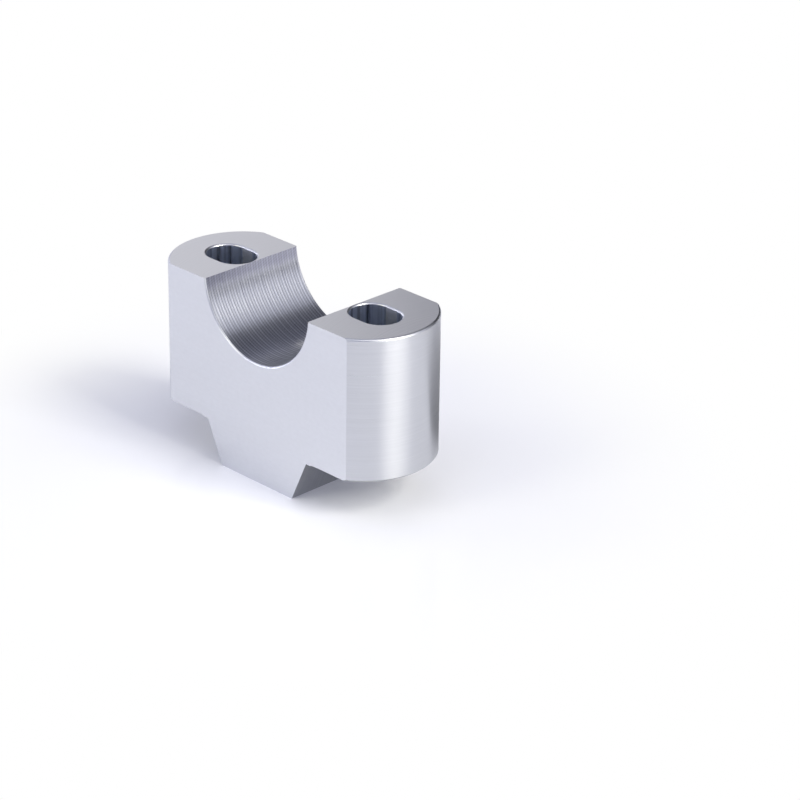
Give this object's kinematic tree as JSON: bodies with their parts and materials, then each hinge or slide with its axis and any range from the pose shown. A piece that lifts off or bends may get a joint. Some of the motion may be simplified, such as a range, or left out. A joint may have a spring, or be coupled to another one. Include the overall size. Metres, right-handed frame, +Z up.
{
  "type": "motorcycle handlebar riser",
  "caption": "Machined aluminium block that lifts a tapered handlebar: half-round bar saddle, bolt slots and a wedge tongue for the old clamp.",
  "frame": {"origin": "middle of the tongue's base, on which the block stands", "axes": "+X along the block from one bolt slot to the other, +Y along the handlebar, +Z up towards the bar"},
  "size_m": [0.0626, 0.024, 0.038],
  "materials": {
    "billet_aluminium": "satin, clear anodised, with fine milling lines"
  },
  "bodies": {
    "root": {"riser_block": "billet_aluminium"}
  },
  "joints": []
}
